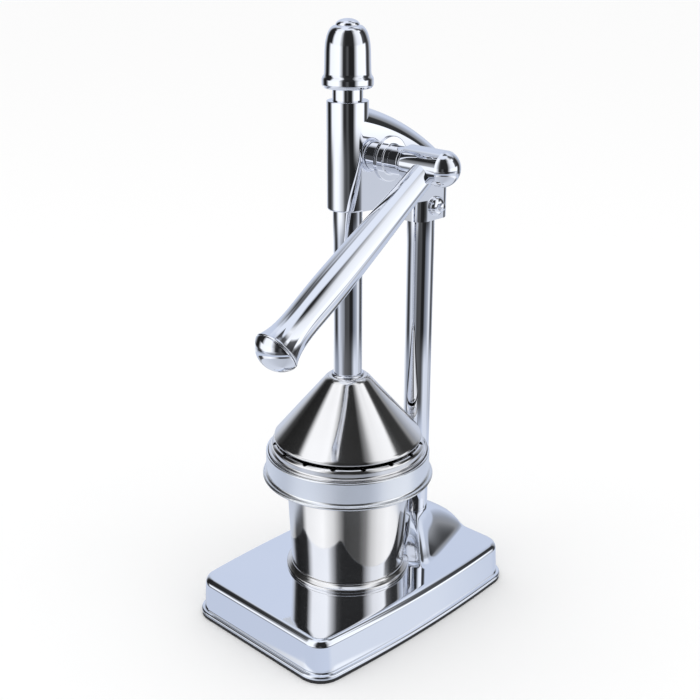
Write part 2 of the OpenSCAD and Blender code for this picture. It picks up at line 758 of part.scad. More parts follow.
module press_cone() {
    s = cone_sheet;
    roll = 0.6;
    shoulder = 1.4;
    color("lightgray") at_ram() rotate_extrude() polygon([
        [stud_d / 2 + fit, cone_top], [crown_r - 2 * shoulder, cone_top],
        [crown_r - shoulder / 2, cone_top - shoulder / 3], [crown_r + shoulder / 2, cone_top - shoulder],
        [cone_r - roll, cone_z + cone_rim_h], [cone_r, cone_z + cone_rim_h - roll], [cone_r, cone_z],
        [cone_r - s, cone_z], [cone_r - s, cone_z + cone_rim_h - roll],
        [crown_r + shoulder / 2 - s * 1.2, cone_top - shoulder - s * 0.8],
        [crown_r - shoulder - s, cone_top - s], [stud_d / 2 + fit, cone_top - s]]);
}

module cone_lock_washer() {
    color("gray") at_ram() translate([0, 0, cone_top - cone_sheet - cone_washer_t]) difference() {
        cylinder(d = cone_nut_d, h = cone_washer_t);
        translate([0, 0, -over]) cylinder(d = stud_d + 2 * fit, h = cone_washer_t + 2 * over);
    }
}

module cone_nut() {
    color("gray") at_ram()
    translate([0, 0, cone_top - cone_sheet - cone_washer_t - cone_nut_h]) difference() {
        cylinder(d = cone_nut_d, h = cone_nut_h, $fn = 6);
        translate([0, 0, -over]) cylinder(d = stud_d + 2 * fit, h = cone_nut_h + 2 * over);
    }
}

base_cover();
base_pad();
spreader_plate();
column_bolt();
lock_washer();
column();
column_plug();
head();
head_screw();
bearing_bush();
cup();
cup_foot();
juice_bowl();
strainer();
lever_shaft();
pinion();
pinion_pin();
hub_ring();
lever_hub();
lever_tube();
grip_cap();
end_washer();
end_nut();
ram();
ram_cap();
cap_screw();
cone_washer();
press_cone();
cone_lock_washer();
cone_nut();
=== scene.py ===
import bpy
import json
import math
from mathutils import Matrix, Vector

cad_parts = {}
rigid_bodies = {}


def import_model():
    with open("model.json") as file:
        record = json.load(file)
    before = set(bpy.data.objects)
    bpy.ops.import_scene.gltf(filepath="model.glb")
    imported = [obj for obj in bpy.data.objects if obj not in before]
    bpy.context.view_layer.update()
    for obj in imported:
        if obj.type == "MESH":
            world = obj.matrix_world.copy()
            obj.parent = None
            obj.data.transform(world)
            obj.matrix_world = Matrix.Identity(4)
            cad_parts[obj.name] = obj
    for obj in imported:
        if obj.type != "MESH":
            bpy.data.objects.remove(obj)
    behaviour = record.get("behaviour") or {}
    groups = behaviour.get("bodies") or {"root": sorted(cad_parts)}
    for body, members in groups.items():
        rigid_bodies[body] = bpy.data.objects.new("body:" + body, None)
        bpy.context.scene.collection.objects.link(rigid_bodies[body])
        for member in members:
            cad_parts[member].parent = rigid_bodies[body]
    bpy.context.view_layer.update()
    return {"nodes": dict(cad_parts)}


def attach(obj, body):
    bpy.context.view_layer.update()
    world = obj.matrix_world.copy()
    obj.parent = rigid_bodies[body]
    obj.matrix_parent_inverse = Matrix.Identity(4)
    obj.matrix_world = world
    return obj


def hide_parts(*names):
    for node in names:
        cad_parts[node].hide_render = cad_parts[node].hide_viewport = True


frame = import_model()

mm = 0.001  # sizes below are in millimetres unless a line says otherwise
quarterTurn = math.pi / 2
ramY, columnY = -7.0, 64.0  # the two upright axes
shaftY, shaftZ = 18.0, 316.0  # the lever's shaft, which runs along x
headFace = 13.15  # half the head's width
boreRadius, pressRadius = 5.06, 5.03  # holes that turn on a 10 mm shaft, and holes that are fixed to it
toolReach = 5  # how far a cutting tool stands out of the metal

# How profiles are turned: rings in a rounded corner, distance of the ring that keeps a flat flat, share of an
# edge that a corner may take, and below what difference two rings or two radii count as one
rounding = {"steps": 6, "guard": 0.3, "share": 0.48, "sameRing": 0.004, "sameScale": 1e-7}
facets = {"wide": 192, "usual": 160, "slim": 128, "small": 96, "drill": 64}  # sides round a turned piece


def deselectAll():
    if bpy.context.object and bpy.context.object.mode != "OBJECT":
        bpy.ops.object.mode_set(mode="OBJECT")
    bpy.ops.object.select_all(action="DESELECT")


def pickOnly(piece):
    deselectAll()
    piece.select_set(True)
    bpy.context.view_layer.objects.active = piece


def nameNew(name):
    piece = bpy.context.object
    piece.name = name
    piece.data.name = name
    return piece


def bezierCorner(start, corner, end, steps):
    arc = []
    for i in range(steps + 1):
        t = i / steps
        arc.append(start * (1 - t) ** 2 + corner * (2 * t * (1 - t)) + end * t ** 2)
    return arc


def softProfile(points, steps=rounding["steps"]):
    # Rounds the corners of a half section. A point is (radius, height) and, if its corner is round, how far
    # the rounding reaches along the edges
    guard = rounding["guard"]
    rings = []
    for k, point in enumerate(points):
        here = Vector(point[:2])
        bevel = point[2] if len(point) > 2 else 0
        if bevel <= 0 or k == 0 or k == len(points) - 1:
            rings.append(here)
            continue
        back = Vector(points[k - 1][:2]) - here
        ahead = Vector(points[k + 1][:2]) - here
        cut = min(bevel, back.length * rounding["share"], ahead.length * rounding["share"])
        if back.length > cut + 2 * guard:
            rings.append(here + back.normalized() * (cut + guard))
        rings += bezierCorner(here + back.normalized() * cut, here, here + ahead.normalized() * cut, steps)
        if ahead.length > cut + 2 * guard:
            rings.append(here + ahead.normalized() * (cut + guard))
    kept = [rings[0]]
    for ring in rings[1:]:
        if (ring - kept[-1]).length > rounding["sameRing"]:
            kept.append(ring)
    return [(ring.x, ring.y) for ring in kept]


def smoothCurve(points, steps):
    # A Catmull-Rom curve through all points
    curve = []
    last = len(points) - 1
    for k in range(last):
        p0, p1 = Vector(points[max(k - 1, 0)]), Vector(points[k])
        p2, p3 = Vector(points[k + 1]), Vector(points[min(k + 2, last)])
        for i in range(steps):
            t = i / steps
            place = p1 * 2 + (p2 - p0) * t + (p0 * 2 - p1 * 5 + p2 * 4 - p3) * t ** 2
            place += (p1 * 3 - p0 - p2 * 3 + p3) * t ** 3
            curve.append(tuple(place / 2))
    curve.append(tuple(points[last]))
    return curve


def ballCap(radius, foot, height, steps, first=0):
    # Rings of a ball's cap, from its rim at foot up to just under its pole
    ball = (radius ** 2 + height ** 2) / (2 * height)
    sweep = math.asin(radius / ball)
    angles = [sweep * (1 - i / steps) for i in range(first, steps)]
    return [(ball * math.sin(a), foot + height - ball * (1 - math.cos(a))) for a in angles]


def shadeSmooth(piece, degrees=35):
    pickOnly(piece)
    bpy.ops.object.shade_smooth_by_angle(angle=math.radians(degrees))


def extrudeUp(height):
    bpy.ops.mesh.extrude_region_move(TRANSFORM_OT_translate={"value": (0, 0, height * mm)})


def pickOpenEdges():
    bpy.ops.mesh.select_all(action="DESELECT")
    bpy.ops.mesh.select_non_manifold(extend=False)


def endWithNormals():
    bpy.ops.mesh.select_all(action="SELECT")
    bpy.ops.mesh.normals_make_consistent(inside=False)
    bpy.ops.object.mode_set(mode="OBJECT")


def turnPiece(name, rings, segments=facets["usual"], closed=False, smooth=35):
    # Extrudes a circle from ring to ring. A first or last ring of radius 0 closes the piece on its axis, and
    # closed joins the last ring to the first
    startPole, endPole = rings[0][0] == 0, rings[-1][0] == 0
    body = rings[int(startPole):len(rings) - int(endPole)]
    radius, height = body[0]
    deselectAll()
    bpy.ops.mesh.primitive_circle_add(vertices=segments, radius=radius * mm)
    piece = nameNew(name)
    bpy.ops.object.mode_set(mode="EDIT")
    bpy.ops.mesh.select_mode(type="VERT")
    bpy.ops.mesh.select_all(action="SELECT")
    bpy.ops.transform.translate(value=(0, 0, height * mm))
    for nextRadius, nextHeight in body[1:]:
        extrudeUp(nextHeight - height)
        grow = nextRadius / radius
        if abs(grow - 1) > rounding["sameScale"]:
            bpy.ops.transform.resize(value=(grow, grow, 1), center_override=(0, 0, 0))
        radius, height = nextRadius, nextHeight
    if endPole:
        extrudeUp(rings[-1][1] - height)
        bpy.ops.mesh.merge(type="CENTER")
    if startPole:
        pickOpenEdges()
        extrudeUp(rings[0][1] - body[0][1])
        bpy.ops.mesh.merge(type="CENTER")
    if closed:
        pickOpenEdges()
        bpy.ops.mesh.bridge_edge_loops()
    endWithNormals()
    shadeSmooth(piece, smooth)
    return piece


def turnRod(name, radius, low, high, segments):
    return turnPiece(name, [(0, low), (radius, low), (radius, high), (0, high)], segments)


def putAt(piece, x=0, y=0, z=0, turn=(0, 0, 0)):
    pickOnly(piece)
    piece.rotation_euler = turn
    piece.location = (x * mm, y * mm, z * mm)
    bpy.ops.object.transform_apply(location=True, rotation=True, scale=True)
    return piece


def layOnShaft(piece):
    return putAt(piece, y=shaftY, z=shaftZ, turn=(0, quarterTurn, 0))


def applyAll(piece):
    pickOnly(piece)
    for modifier in list(piece.modifiers):
        bpy.ops.object.modifier_apply(modifier=modifier.name)


def cutWith(piece, tool, operation="DIFFERENCE"):
    modifier = piece.modifiers.new("cut", "BOOLEAN")
    modifier.operation = operation
    modifier.solver = "EXACT"
    modifier.object = tool
    applyAll(piece)
    bpy.data.objects.remove(tool)


def addBlock(name, low, high):
    deselectAll()
    middle = [(a + b) / 2 * mm for a, b in zip(low, high)]
    bpy.ops.mesh.primitive_cube_add(size=1, location=middle)
    block = nameNew(name)
    block.scale = [(b - a) * mm for a, b in zip(low, high)]
    bpy.ops.object.transform_apply(location=True, rotation=True, scale=True)
    return block


def bevelEdges(piece, width, segments, degrees):
    modifier = piece.modifiers.new("edges", "BEVEL")
    modifier.width = width * mm
    modifier.segments = segments
    modifier.limit_method = "ANGLE"
    modifier.angle_limit = math.radians(degrees)
    modifier.use_clamp_overlap = True
    applyAll(piece)


def dress(piece, material, body, slotName, *nodes):
    piece.data.materials.clear()
    piece.data.materials.append(material)
    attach(piece, body)
    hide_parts(*nodes)


# Materials. All noise is in object space and in metres
def startMaterial(name):
    material = bpy.data.materials.new(name)
    material.use_nodes = True
    nodes, links = material.node_tree.nodes, material.node_tree.links
    return material, nodes, links, nodes["Principled BSDF"]


def addNoise(nodes, links, place, detail, scale=1):
    noise = nodes.new("ShaderNodeTexNoise")
    noise.inputs["Scale"].default_value = scale
    noise.inputs["Detail"].default_value = detail
    links.new(place, noise.inputs["Vector"])
    return noise.outputs["Fac"]


def mixColours(nodes, links, share, low, high):
    # Low and high are colours or sockets, and 6, 7 and 2 are the node's colour sockets
    mix = nodes.new("ShaderNodeMix")
    mix.data_type = "RGBA"
    links.new(share, mix.inputs[0])
    for socket, source in ((mix.inputs[6], low), (mix.inputs[7], high)):
        if isinstance(source, tuple):
            socket.default_value = (*source, 1)
        else:
            links.new(source, socket)
    return mix.outputs[2]


def addBump(nodes, links, shader, height, strength, depth):
    bump = nodes.new("ShaderNodeBump")
    bump.inputs["Strength"].default_value = strength
    bump.inputs["Distance"].default_value = depth * mm
    links.new(height, bump.inputs["Height"])
    links.new(bump.outputs["Normal"], shader.inputs["Normal"])


grain = {"detail": 4, "patchDetail": 3, "span": (0.1, 0.45)}  # span: the values between which it works


def makeGrainGroup():
    # Fine grain, stretched by its scale along one way of the object, under soft patches of handling
    group = bpy.data.node_groups.new("metalGrain", "ShaderNodeTree")
    group.interface.new_socket(name="Grain Scale", in_out="INPUT", socket_type="NodeSocketVector")
    for name in ("Patch Scale", "Low", "High"):
        group.interface.new_socket(name=name, in_out="INPUT", socket_type="NodeSocketFloat")
    for name in ("Roughness", "Height", "Patch"):
        group.interface.new_socket(name=name, in_out="OUTPUT", socket_type="NodeSocketFloat")
    nodes, links = group.nodes, group.links
    entry, leave = nodes.new("NodeGroupInput"), nodes.new("NodeGroupOutput")
    place = nodes.new("ShaderNodeTexCoord").outputs["Object"]
    stretch = nodes.new("ShaderNodeVectorMath")
    stretch.operation = "MULTIPLY"
    links.new(place, stretch.inputs[0])
    links.new(entry.outputs["Grain Scale"], stretch.inputs[1])
    lines = addNoise(nodes, links, stretch.outputs[0], grain["detail"])
    patch = addNoise(nodes, links, place, grain["patchDetail"])
    links.new(entry.outputs["Patch Scale"], patch.node.inputs["Scale"])
    both = nodes.new("ShaderNodeMath")
    both.operation = "MULTIPLY"
    links.new(lines, both.inputs[0])
    links.new(patch, both.inputs[1])
    spread = nodes.new("ShaderNodeMapRange")
    spread.inputs["From Min"].default_value, spread.inputs["From Max"].default_value = grain["span"]
    links.new(both.outputs[0], spread.inputs["Value"])
    links.new(entry.outputs["Low"], spread.inputs["To Min"])
    links.new(entry.outputs["High"], spread.inputs["To Max"])
    links.new(spread.outputs["Result"], leave.inputs["Roughness"])
    links.new(lines, leave.inputs["Height"])
    links.new(patch, leave.inputs["Patch"])
    return group


grainGroup = makeGrainGroup()

# Colour and roughness run between two values. Grain and patch are noise scales, depth is the bump's height
finishes = {
    "mirrorChrome": {"light": (0.90, 0.91, 0.95), "dark": (0.84, 0.86, 0.91), "grain": (60, 60, 60),
                     "patch": 30, "rough": (0.005, 0.03), "bump": 0.01, "depth": 0.02, "anisotropy": 0.0},
    "baseChrome": {"light": (0.88, 0.90, 0.95), "dark": (0.84, 0.87, 0.93), "grain": (60, 60, 60),
                   "patch": 24, "rough": (0.005, 0.035), "bump": 0.01, "depth": 0.02, "anisotropy": 0.0},
    "satinSteel": {"light": (0.92, 0.91, 0.90), "dark": (0.82, 0.80, 0.79), "grain": (22, 22, 2600),
                   "patch": 26, "rough": (0.06, 0.11), "bump": 0.05, "depth": 0.03, "anisotropy": 0.4},
    "bowlSatin": {"light": (0.97, 0.98, 0.99), "dark": (0.94, 0.95, 0.97), "grain": (60, 60, 60),
                  "patch": 20, "rough": (0.19, 0.22), "bump": 0.01, "depth": 0.02, "anisotropy": 0.0},
    "plainSteel": {"light": (0.52, 0.52, 0.54), "dark": (0.36, 0.36, 0.38), "grain": (500, 500, 500),
                   "patch": 90, "rough": (0.28, 0.45), "bump": 0.15, "depth": 0.05, "anisotropy": 0.0},
}
rubberLook = {"light": (0.03, 0.03, 0.032), "dark": (0.012, 0.012, 0.013), "speck": 900, "detail": 3,
              "rough": (0.6, 0.85), "bump": 0.3, "depth": 0.1}


def makeMetal(name):
    look = finishes[name]
    material, nodes, links, shader = startMaterial(name)
    shader.inputs["Metallic"].default_value = 1.0
    shader.inputs["Anisotropic"].default_value = look["anisotropy"]
    marks = nodes.new("ShaderNodeGroup")
    marks.node_tree = grainGroup
    marks.inputs["Grain Scale"].default_value = look["grain"]
    marks.inputs["Patch Scale"].default_value = look["patch"]
    marks.inputs["Low"].default_value, marks.inputs["High"].default_value = look["rough"]
    links.new(mixColours(nodes, links, marks.outputs["Patch"], look["dark"], look["light"]),
              shader.inputs["Base Color"])
    links.new(marks.outputs["Roughness"], shader.inputs["Roughness"])
    addBump(nodes, links, shader, marks.outputs["Height"], look["bump"], look["depth"])
    return material


def makeRubber():
    look = rubberLook
    material, nodes, links, shader = startMaterial("padRubber")
    place = nodes.new("ShaderNodeTexCoord").outputs["Object"]
    speck = addNoise(nodes, links, place, look["detail"], look["speck"])
    links.new(mixColours(nodes, links, speck, look["dark"], look["light"]), shader.inputs["Base Color"])
    spread = nodes.new("ShaderNodeMapRange")
    spread.inputs["To Min"].default_value, spread.inputs["To Max"].default_value = look["rough"]
    links.new(speck, spread.inputs["Value"])
    links.new(spread.outputs["Result"], shader.inputs["Roughness"])
    addBump(nodes, links, shader, speck, look["bump"], look["depth"])
    return material


chrome, satin, baseChrome = makeMetal("mirrorChrome"), makeMetal("satinSteel"), makeMetal("baseChrome")
bowlMetal, plainSteel = makeMetal("bowlSatin"), makeMetal("plainSteel")
rubber = makeRubber()
print("materials ready")

# Base cover: walls, rounded edge and the raised seat of the column are pressed from one sheet
base = {
    "width": 137, "length": 195, "top": 29, "sheet": 1.2, "swell": 3.5, "corner": 17, "smallestCorner": 2.5,
    "edge": 5, "lip": 2.6, "lipTop": 5, "pad": 2, "taper": 1, "seatRise": 17, "seatTop": 9.8,
    "wallGap": 0.4,  # how far below the rounded edge the wall's last ring lies
    # how far in a ring of the lip lies, and how high above the pad or the lip's top
    "lipFoot": [(1.2, 0.05), (0.5, 0.15), (0.12, 0.5), (0, 1)],
    "lipCrown": [(0, -1.2), (0.15, -0.6), (0.6, -0.15), (1.1, 0)],
    "lipFold": [(-0.8, 0.1), (-0.2, 0.4), (0, 1), (0.04, 1.8)],  # measured in from the wall's line
    # the seat's foot: front and back from the origin, its widths there, and the room it leaves round the cup
    "seatFront": 22, "seatBack": 100, "seatFrontWidth": 96, "seatBackWidth": 46, "cupRoom": 44.8,
    "cupShare": 0.5,  # how soon the foot swings over to the cup's circle
    "flankPower": 1.5, "cornerPower": 6, "foldShare": 0.1, "farShare": 0.96,
    "sidePoints": 64, "endPoints": 56, "cornerPoints": 22, "wallRings": 6, "edgeRings": 12,
    "outerRings": 32, "flankRings": 30, "topRings": 4, "smooth": 40,
}


def baseOutline(inset):
    halfW, halfL = base["width"] / 2 - inset, base["length"] / 2 - inset
    r = max(base["corner"] - inset, base["smallestCorner"])
    lean = math.atan(2 * base["swell"] / (halfL - r))
    endX = halfW - base["swell"]
    cx, cy = endX - r * math.cos(lean), halfL - r
    endY = cy + r * math.sin(lean)
    points = []
    for i in range(base["sidePoints"]):
        t = -1 + 2 * i / base["sidePoints"]
        points.append((endX + base["swell"] * (1 - t * t), t * endY))
    for i in range(base["cornerPoints"]):
        a = lean + (quarterTurn - lean) * i / base["cornerPoints"]
        points.append((cx + r * math.cos(a), cy + r * math.sin(a)))
    for i in range(base["endPoints"]):
        points.append((cx - 2 * cx * i / base["endPoints"], halfL))
    for i in range(base["cornerPoints"]):
        a = quarterTurn + (quarterTurn - lean) * i / base["cornerPoints"]
        points.append((-cx + r * math.cos(a), cy + r * math.sin(a)))
    return points + [(-x, -y) for x, y in points]


def seatFoot(angle):
    # Distance from the column's axis to the fold at the seat's foot: four walls and the circle round the cup,
    # with the corners between them rounded by a power mean
    ux, uy = math.cos(angle), math.sin(angle)
    length = base["seatBack"] - base["seatFront"]
    narrowing = (base["seatFrontWidth"] - base["seatBackWidth"]) / 2
    slant = math.hypot(length, narrowing)
    nx, ny = length / slant, narrowing / slant
    side = nx * base["seatFrontWidth"] / 2 - ny * (columnY - base["seatFront"])
    walls = (-uy / (columnY - base["seatFront"]), uy / (base["seatBack"] - columnY),
             (nx * ux + ny * uy) / side, (ny * uy - nx * ux) / side)
    toCup = (ramY - columnY) * uy
    reach = max(base["cupRoom"] ** 2 - (ramY - columnY) ** 2 + toCup ** 2, 0)
    if toCup > 0 and reach > 0:
        share = min(reach / (base["cupShare"] * base["cupRoom"] ** 2), 1)
        walls += (share * share * (3 - 2 * share) / (toCup - math.sqrt(reach)),)
    power = base["cornerPower"]
    return sum(max(wall, 0) ** power for wall in walls) ** (-1 / power)


def seatHeight(x, y):
    # 0 outside the fold, then the flank's curve up to the top, with the fold itself rounded
    foot = seatFoot(math.atan2(y - columnY, x))
    share = min((foot - math.hypot(x, y - columnY)) / (foot - base["seatTop"]), 1)
    fold, power = base["foldShare"], base["flankPower"]
    slope = power * (1 - fold) ** (power - 1)
    step = 1 - (1 - fold) ** power - slope * fold
    if share <= -fold:
        return 0
    if share < fold:
        return base["seatRise"] * slope * (share + fold) ** 2 / (4 * fold) / (1 - step)
    return base["seatRise"] * (1 - (1 - share) ** power - step) / (1 - step)


def baseLevels():
    # Inset, height and share of the seat's lift for each ring from the lip's foot to the top's edge
    pad, lip, lipTop, edge = base["pad"], base["lip"], base["lipTop"], base["edge"]
    levels = [(inset, pad + up, 0) for inset, up in base["lipFoot"]]
    levels += [(inset, lipTop + up, 0) for inset, up in base["lipCrown"]]
    levels += [(lip + inset, lipTop + up, 0) for inset, up in base["lipFold"]]
    wallFoot, wallTop = levels[-1][1], base["top"] - edge
    wallRise = wallTop - base["wallGap"] - wallFoot
    for i in range(1, base["wallRings"] + 1):
        share = i / (base["wallRings"] + 1)
        levels.append((lip + base["taper"] * share, wallFoot + wallRise * share, share))
    for i in range(base["edgeRings"] + 1):
        a = quarterTurn * i / base["edgeRings"]
        levels.append((lip + base["taper"] + edge * (1 - math.cos(a)), wallTop + edge * math.sin(a), 1))
    return levels


def topRings(rim):
    # From the rim to the fold, from the fold up the flank, and over the seat's top round the column's axis
    rays = []
    for x, y in rim:
        angle, far = math.atan2(y - columnY, x), math.hypot(x, y - columnY)
        stations = (far, min(seatFoot(angle), far * base["farShare"]), base["seatTop"], 0)
        rays.append((math.cos(angle), math.sin(angle), stations))
    steps = [(part, i / count) for part, count in enumerate(
        (base["outerRings"], base["flankRings"], base["topRings"])) for i in range(1, count + 1)]
    rings = []
    for part, t in steps[:-1]:  # the last step is the point on the axis
        ring = []
        for ux, uy, stations in rays:
            away = stations[part] + (stations[part + 1] - stations[part]) * t
            ring.append((ux * away, columnY + uy * away))
        rings.append(ring)
    return rings


def makeBaseCover():
    outlines = [(baseOutline(inset), z, lift) for inset, z, lift in baseLevels()]
    outlines += [(ring, base["top"], 1) for ring in topRings(outlines[-1][0])]
    count = len(outlines[0][0])
    deselectAll()
    bpy.ops.mesh.primitive_circle_add(vertices=count, radius=1)
    cover = nameNew("baseCover")
    bpy.ops.object.mode_set(mode="EDIT")
    bpy.ops.mesh.select_all(action="SELECT")
    for _ in outlines:
        extrudeUp(1 / mm)
    bpy.ops.mesh.merge(type="CENTER")
    bpy.ops.object.mode_set(mode="OBJECT")
    # A plain stack so far, a metre from ring to ring: a vertex's height tells its ring and its angle its place
    for vertex in cover.data.vertices:
        row = round(vertex.co.z)
        if row >= len(outlines):
            vertex.co = (0, columnY * mm, (base["top"] + base["seatRise"]) * mm)
            continue
        ring, z, lift = outlines[row]
        column = round(math.atan2(vertex.co.y, vertex.co.x) / (2 * math.pi) * count) % count
        x, y = ring[column]
        vertex.co = (x * mm, y * mm, (z + lift * seatHeight(x, y)) * mm)
    bpy.ops.object.mode_set(mode="EDIT")
    endWithNormals()
    wall = cover.modifiers.new("sheet", "SOLIDIFY")
    wall.thickness = base["sheet"] * mm
    wall.offset = -1
    applyAll(cover)
    shadeSmooth(cover, base["smooth"])
    return cover


dress(makeBaseCover(), baseChrome, "frame", "chrome", "base_cover")
print("base cover ready")

column = {"radius": 9.5, "wall": 1.5, "foot": 46, "top": 306, "edge": 0.3}
columnBore = column["radius"] - column["wall"]
tube = turnPiece("columnTube", softProfile([
    (columnBore, column["foot"]), (column["radius"], column["foot"], column["edge"]),
    (column["radius"], column["top"], column["edge"]), (columnBore, column["top"])]),
    facets["slim"], closed=True)
dress(putAt(tube, y=columnY), chrome, "frame", "chrome", "column")
print("column ready")

# Head casting: a web between the ram's sleeve and the column's collar, under one arched ridge
head = {
    "top": 354, "bottom": 286, "webDrop": 4, "bevel": 0.7, "bevelSteps": 3, "bevelAngle": 35,
    "smooth": 25, "flatWeight": 60,
    "collarBottom": 268, "collarLength": 31.1, "collarCorner": 8, "collarSteps": 14,
    # the arch is a disc with a round rim. Its middle lies archForward in front of the ram and archDown below
    # the top
    "arch": 211, "archForward": 48.6, "archDown": 207, "ridge": 13.7, "ridgeSteps": 40, "archFacets": 640,
    "ramBore": 9.56, "columnSocket": 9.53, "socketDepth": 38, "sleeveFoot": 0.8, "sleeveTop": 0.6,
    # the pinion's room, the way out below it, and the two holes for the shaft
    "roomRadius": 19.85, "roomHalf": 6.5, "chuteBottom": 250, "chuteInset": (0.05, 0.07),
    "bearingHole": 7.03, "drillReach": 40,
}


def roundUprights(piece, radius, steps):
    # Only the four upright edges get a weight, so only they are rounded
    modifier = piece.modifiers.new("uprights", "BEVEL")
    modifier.width = radius * mm
    modifier.segments = steps
    modifier.limit_method = "WEIGHT"
    weights = piece.data.attributes.new("bevel_weight_edge", "FLOAT", "EDGE")
    for edge in piece.data.edges:
        a, b = (piece.data.vertices[i].co for i in edge.vertices)
        if abs(a.z - b.z) > 10 * mm:
            weights.data[edge.index].value = 1
    applyAll(piece)


def makeHead():
    top, bottom, collarBottom = head["top"], head["bottom"], head["collarBottom"]
    halfCollar = head["collarLength"] / 2
    web = addBlock("headCasting", (-headFace, ramY, bottom), (headFace, columnY, top))
    for vertex in web.data.vertices:  # the lower edge drops towards the column
        if vertex.co.z < (bottom + 1) * mm and vertex.co.y > 0:
            vertex.co.z -= head["webDrop"] * mm
    collar = addBlock("collar", (-headFace, columnY - halfCollar, collarBottom),
                      (headFace, columnY + halfCollar, top))
    roundUprights(collar, head["collarCorner"], head["collarSteps"])
    cutWith(web, collar, "UNION")

    ridge, steps = head["ridge"], head["ridgeSteps"]
    arc = [(head["arch"] - ridge + ridge * math.cos(a), ridge * math.sin(a))
           for a in [-quarterTurn + math.pi * i / steps for i in range(steps + 1)]]
    disc = turnPiece("ridgeDisc", [(0, -ridge)] + arc + [(0, ridge)], head["archFacets"])
    putAt(disc, y=ramY - head["archForward"], z=top - head["archDown"], turn=(0, quarterTurn, 0))
    cutWith(web, disc, "INTERSECT")

    sleeve = turnPiece("sleeve", softProfile([
        (0, bottom), (headFace, bottom, head["sleeveFoot"]), (headFace, top, head["sleeveTop"]), (0, top)]),
        facets["wide"])
    cutWith(web, putAt(sleeve, y=ramY), "UNION")
    bore = turnRod("bore", head["ramBore"], bottom - toolReach, top + toolReach, facets["slim"])
    cutWith(web, putAt(bore, y=ramY))
    socket = turnRod("socket", head["columnSocket"], collarBottom - toolReach,
                     collarBottom + head["socketDepth"], facets["small"])
    cutWith(web, putAt(socket, y=columnY))

    half, radius, (insetX, insetY) = head["roomHalf"], head["roomRadius"], head["chuteInset"]
    cutWith(web, layOnShaft(turnRod("room", radius, -half, half, facets["small"])))
    cutWith(web, addBlock("chute", (insetX - half, shaftY - radius + insetY, head["chuteBottom"]),
                          (half - insetX, shaftY + radius - insetY, shaftZ)))
    reach = head["drillReach"]
    for hole, start, end in ((head["bearingHole"], 0, reach), (boreRadius, -reach, 1)):
        cutWith(web, layOnShaft(turnRod("drill", hole, start, end, facets["drill"])))
    bevelEdges(web, head["bevel"], head["bevelSteps"], head["bevelAngle"])
    shadeSmooth(web, head["smooth"])
    soften = web.modifiers.new("normals", "WEIGHTED_NORMAL")
    soften.keep_sharp = True
    soften.weight = head["flatWeight"]
    applyAll(web)
    return web


dress(makeHead(), chrome, "frame", "chrome", "head")
print("head ready")

# Bearing: a seat pressed into the head, then the flange on its face and the nose towards the hub. Outlines
# from here on are (radius, distance along the axis, rounding)
bearing = {
    "outline": [(boreRadius, 6.5), (7.0, 6.5), (7.0, headFace), (14.5, headFace, 0.3), (14.5, 14.65, 0.5),
                (9.8, 14.75, 0.4), (9.2, 15.45, 0.4), (9.2, 26.55, 0.5), (boreRadius, 26.55)],
    "cornerSteps": 8,
}
bush = turnPiece("bearingBush", softProfile(bearing["outline"], bearing["cornerSteps"]), closed=True)
dress(layOnShaft(bush), chrome, "frame", "chrome", "bearing_bush")
print("bearing ready")

# Button-head screw in the collar, with a hexagon socket. "hex" is half of what it measures across its flats
screw = {
    "z": 277.5, "hex": 2.3, "depth": 2.5, "hexEdge": 0.15,
    "outline": [(0, -11.6), (3.5, -11.6, 0.3), (3.5, headFace), (6.7, headFace, 0.3), (6.7, 14.4, 0.5),
                (5.36, 16.3, 1.5), (3.015, 16.95, 0.6), (0, 16.95)],
}
screwTop = screw["outline"][-1][1]
button = turnPiece("headScrew", softProfile(screw["outline"]), facets["small"])
deselectAll()
bpy.ops.mesh.primitive_cylinder_add(vertices=6, radius=screw["hex"] / math.cos(math.pi / 6) * mm,
                                    depth=screw["depth"] * 2 * mm, location=(0, 0, screwTop * mm))
socketTool = nameNew("screwSocket")
pickOnly(socketTool)
bpy.ops.object.transform_apply(location=True, rotation=True, scale=True)
cutWith(button, socketTool)
bevelEdges(button, screw["hexEdge"], segments=2, degrees=50)
shadeSmooth(button, degrees=30)
putAt(button, y=columnY, z=screw["z"], turn=(0, quarterTurn, 0))
dress(button, chrome, "frame", "chrome", "head_screw")
print("screw ready")

# Hub across the end of the shaft, with a domed end, and the thin ring between it and the bearing
hub = {
    "radius": 11.2, "start": 29.75, "edge": 0.8, "wallEnd": 59.1,
    "dome": 59.2, "domeHeight": 8.5, "domeSteps": 24, "smooth": 12,
    "ring": [(pressRadius, 26.95), (10, 26.95, 0.6), (10, 29.55, 0.6), (pressRadius, 29.55)],
}
ring = turnPiece("hubRing", softProfile(hub["ring"]), closed=True)
dress(layOnShaft(ring), chrome, "lever", "chrome", "hub_ring")
hubRings = softProfile([
    (0, hub["start"]), (hub["radius"], hub["start"], hub["edge"]), (hub["radius"], hub["wallEnd"])])
hubRings += ballCap(hub["radius"], hub["dome"], hub["domeHeight"], hub["domeSteps"], first=1)
hubRings += [(0, hub["dome"] + hub["domeHeight"])]
hubBody = turnPiece("leverHub", hubRings, smooth=hub["smooth"])
dress(layOnShaft(hubBody), chrome, "lever", "chrome", "lever_hub")
print("hub ready")

